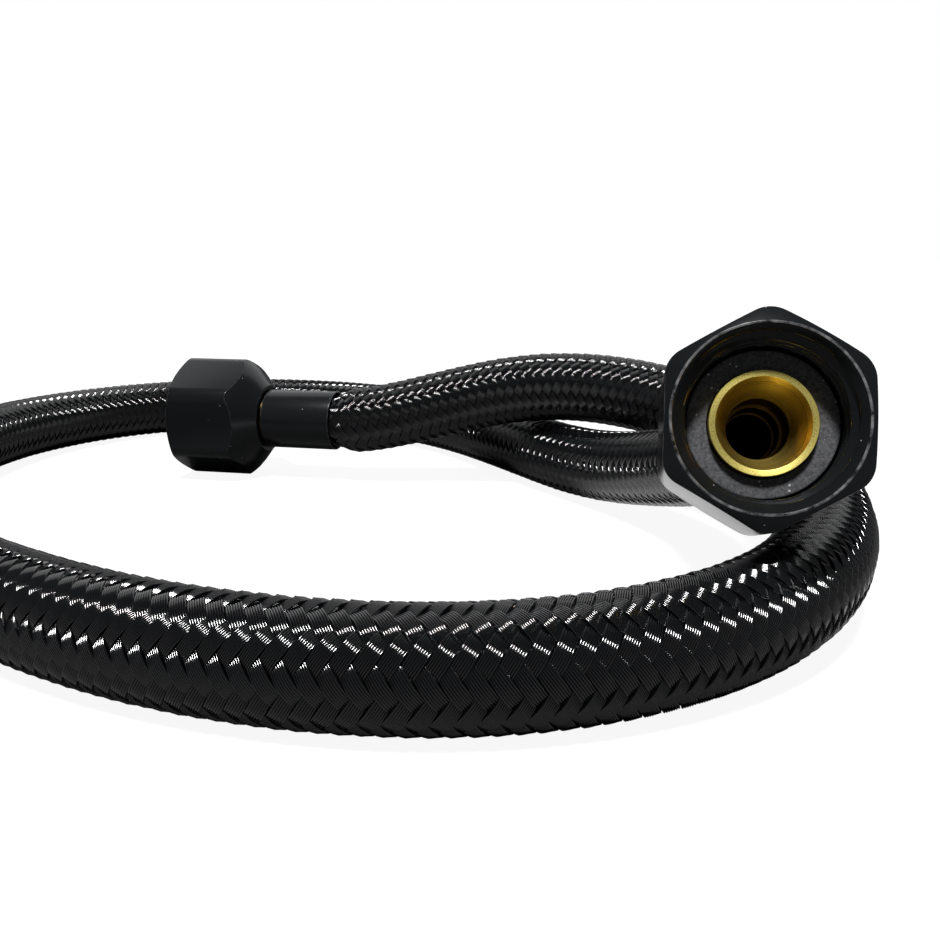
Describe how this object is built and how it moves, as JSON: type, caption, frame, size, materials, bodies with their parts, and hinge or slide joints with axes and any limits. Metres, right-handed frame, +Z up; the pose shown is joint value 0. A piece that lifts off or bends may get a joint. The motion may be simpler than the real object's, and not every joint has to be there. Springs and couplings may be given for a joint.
{
  "type": "braided supply line",
  "caption": "Flexible braided hose in a loose loop, with a brass core, rubber sealing washer and black hexagonal union nut on each end.",
  "frame": {"origin": "on the surface the line lies on, under the middle of the box of the end fittings", "axes": "+Z up; the near union nut's mouth looks along -Y and a little up, and the loop reaches out along +Y behind it"},
  "size_m": [0.1849, 0.2025, 0.0446],
  "materials": {
    "black_coating": "satin black coating on metal, worn a little brighter on the edges",
    "washer_rubber": "matt dark grey rubber",
    "brass": "turned brass, bright",
    "tube_rubber": "matt black rubber",
    "black_braid": "glossy black filaments woven in bands"
  },
  "bodies": {
    "hose": {"near_brass_core": "brass", "near_crimp_ferrule": "black_coating", "far_brass_core": "brass", "far_crimp_ferrule": "black_coating", "inner_tube": "tube_rubber", "braided_jacket": "black_braid"},
    "near_nut": {"near_union_nut": "black_coating"},
    "far_nut": {"far_union_nut": "black_coating"},
    "near_washer": {"near_sealing_washer": "washer_rubber"},
    "far_washer": {"far_sealing_washer": "washer_rubber"}
  },
  "joints": [
    {"name": "near_nut_spin", "type": "hinge", "parent": "hose", "child": "near_nut", "pos_m": [0.04411, -0.06291, 0.0322], "axis": [-0.1446, -0.9448, 0.294], "continuous": true},
    {"name": "far_nut_spin", "type": "hinge", "parent": "hose", "child": "far_nut", "pos_m": [-0.05589, 0.05499, 0.01328], "axis": [-0.9755, 0.2198, 0], "continuous": true},
    {"name": "near_washer_slide", "type": "slide", "parent": "hose", "child": "near_washer", "axis": [-0.1446, -0.9448, 0.294], "range_m": [0, 0.0095]},
    {"name": "far_washer_slide", "type": "slide", "parent": "hose", "child": "far_washer", "axis": [-0.9755, 0.2198, 0], "range_m": [0, 0.0095]}
  ]
}
